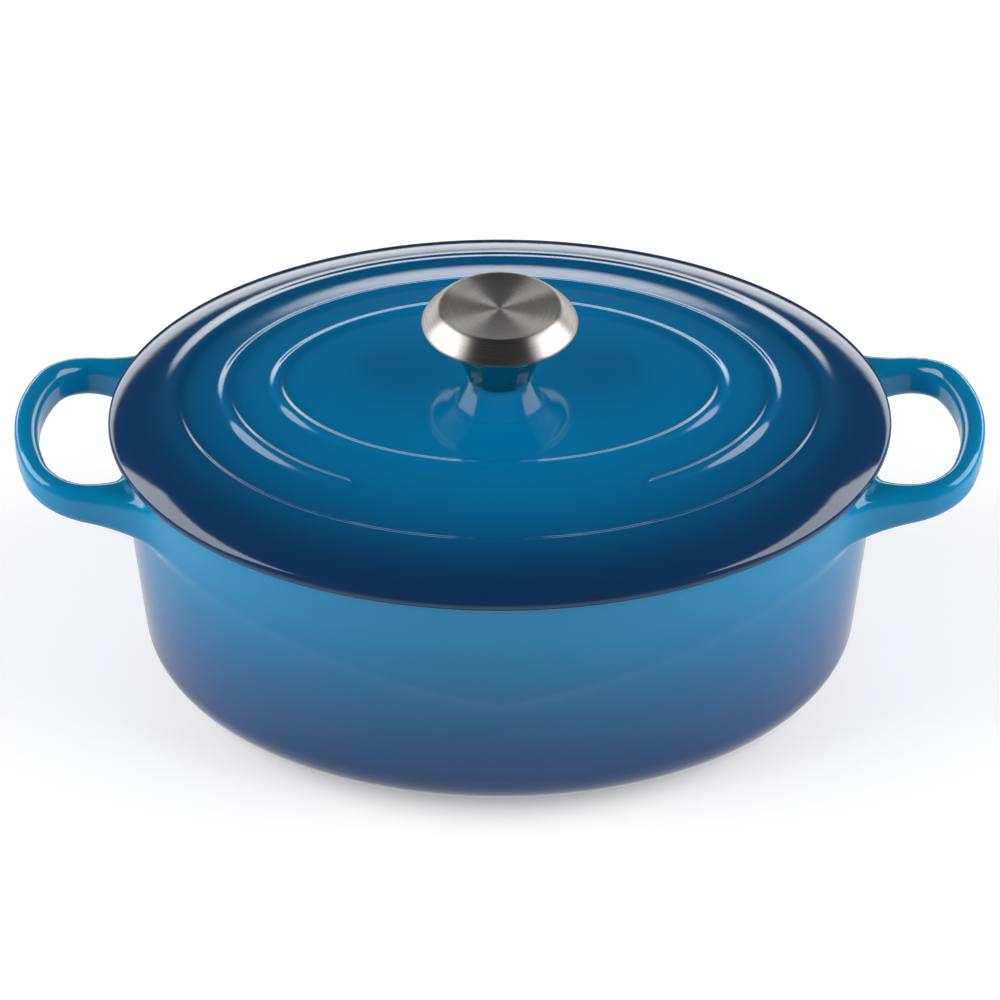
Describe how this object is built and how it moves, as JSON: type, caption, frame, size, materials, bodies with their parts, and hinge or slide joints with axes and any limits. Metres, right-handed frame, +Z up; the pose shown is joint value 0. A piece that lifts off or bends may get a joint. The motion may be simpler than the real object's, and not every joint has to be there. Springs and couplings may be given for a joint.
{
  "type": "dutch oven",
  "caption": "Oval enamelled cast iron dutch oven with cast loop handles and a lift-off domed lid that carries raised rings and a round steel knob.",
  "frame": {"origin": "on the ground under the middle of the pot", "axes": "+X along the length, through both handles; +Y towards the back; +Z up"},
  "size_m": [0.3668, 0.2348, 0.159],
  "materials": {
    "pot_enamel": "glossy enamel, bright blue at the rim and dark at the base",
    "sand_enamel": "glossy pale sand enamel",
    "rim_enamel": "matte dark ground enamel",
    "lid_enamel": "glossy enamel, bright blue at the centre and navy at the edge",
    "brushed_cap": "circular brushed stainless steel",
    "polished_neck": "polished stainless steel",
    "bush_steel": "plain machined steel",
    "screw_steel": "stainless steel"
  },
  "bodies": {
    "pot": {"pot_casting": "pot_enamel", "pot_lining": "sand_enamel", "pot_rim_coat": "rim_enamel"},
    "lid": {"lid_casting": "lid_enamel", "lid_lining": "sand_enamel", "lid_rim_coat": "rim_enamel"},
    "knob": {"knob_cap": "brushed_cap", "knob_body": "polished_neck", "knob_bush": "bush_steel"},
    "screw_set": {"knob_screw": "screw_steel", "screw_washer": "screw_steel"}
  },
  "joints": [
    {"name": "lid_lift", "type": "slide", "parent": "pot", "child": "lid", "axis": [0, 0, 1], "range_m": [0, 0.16]},
    {"name": "knob_turn", "type": "hinge", "parent": "lid", "child": "knob", "pos_m": [0, 0, 0.1283], "axis": [0, 0, 1], "range_deg": [0, 3600]},
    {"name": "screw_withdraw", "type": "slide", "parent": "lid", "child": "screw_set", "axis": [0, 0, -1], "range_m": [0, 0.0101]}
  ],
  "couplings": [
    {"joint": "screw_withdraw", "follows": "knob_turn", "m_per_rad": 0.00015915}
  ]
}
